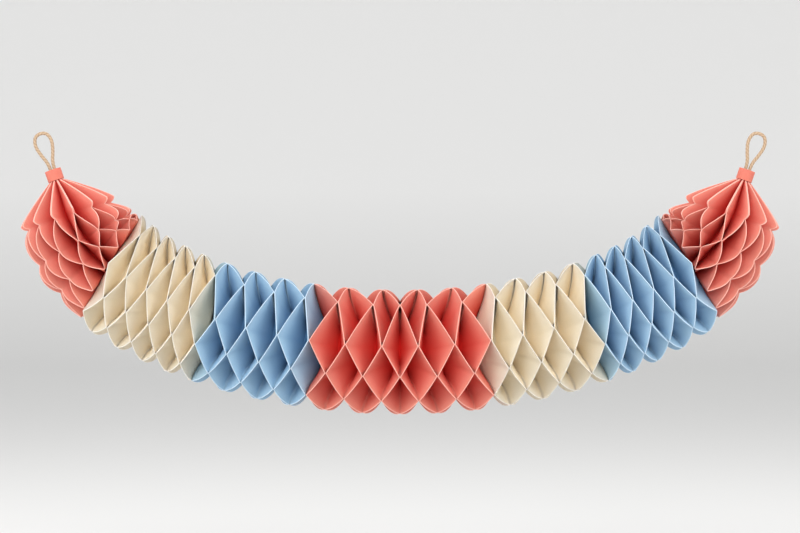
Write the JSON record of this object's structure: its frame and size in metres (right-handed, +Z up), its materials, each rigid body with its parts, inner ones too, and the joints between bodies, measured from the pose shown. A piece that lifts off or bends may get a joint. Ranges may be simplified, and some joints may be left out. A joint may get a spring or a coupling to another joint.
{
  "type": "honeycomb paper garland",
  "caption": "Hanging garland of pleated paper sleeves in coral, cream and blue, glued into diamond cells, gathered into a paper collar with a cord loop at each end.",
  "frame": {"origin": "middle of the box round the paper, halfway along the garland", "axes": "+X along the garland from its left end to its right end as seen from the front, +Y from front to back, +Z up as it hangs"},
  "size_m": [0.651, 0.1047, 0.2397],
  "materials": {
    "coral_paper": "matte coloured card",
    "cream_paper": "matte coloured card",
    "blue_paper": "matte coloured card",
    "collar_paper": "matte coloured card",
    "cord": "twisted natural cord"
  },
  "bodies": {
    "root": {"coral_left_sleeve": "coral_paper", "cream_outer_sleeve": "cream_paper", "blue_inner_sleeve": "blue_paper", "coral_centre_sleeve": "coral_paper", "cream_inner_sleeve": "cream_paper", "blue_outer_sleeve": "blue_paper", "coral_right_sleeve": "coral_paper", "left_collar": "collar_paper", "right_collar": "collar_paper", "left_hanging_loop": "cord", "right_hanging_loop": "cord"}
  },
  "joints": []
}
